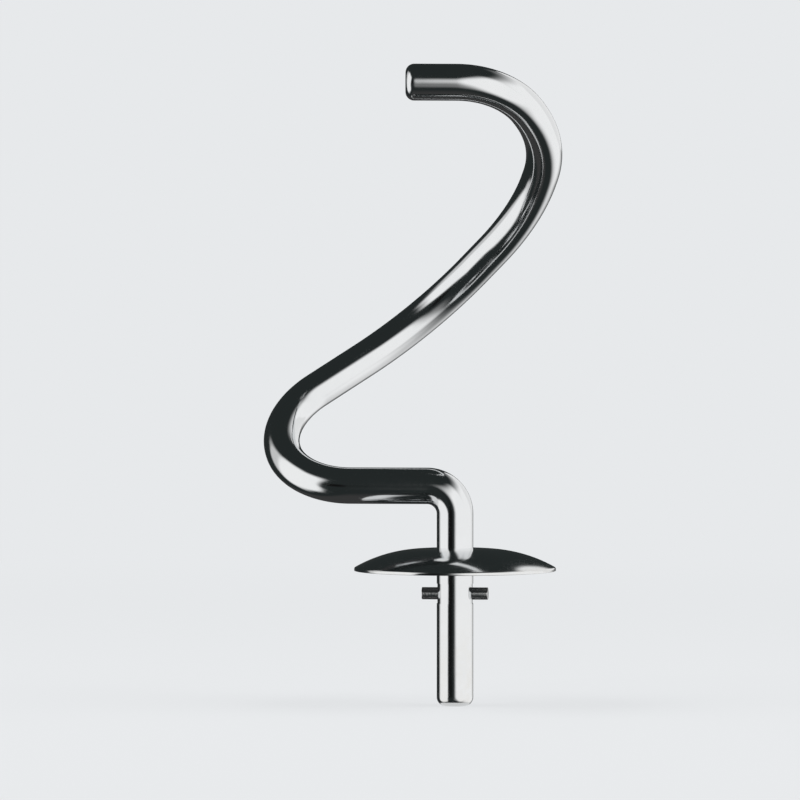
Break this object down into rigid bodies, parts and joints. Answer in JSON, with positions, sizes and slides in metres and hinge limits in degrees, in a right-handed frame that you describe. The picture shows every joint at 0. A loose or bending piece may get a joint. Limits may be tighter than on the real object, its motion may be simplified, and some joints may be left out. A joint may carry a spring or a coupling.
{
  "type": "stand mixer dough hook",
  "caption": "Polished steel spiral dough hook: a bent round bar with a domed guard on its shank and a cross pin that locks it into a mixer's drive socket.",
  "frame": {"origin": "where the drive pin's axis crosses the shank's axis", "axes": "+Z along the shank from its free end towards the spiral; -X along the arm; pin along X"},
  "size_m": [0.0921, 0.0832, 0.1927],
  "materials": {
    "bar_steel": "mirror polished stainless bar",
    "guard_steel": "mirror polished stainless sheet",
    "pin_steel": "polished stainless dowel"
  },
  "bodies": {
    "root": {"hook_rod": "bar_steel", "dough_guard": "guard_steel", "drive_pin": "pin_steel"}
  },
  "joints": []
}
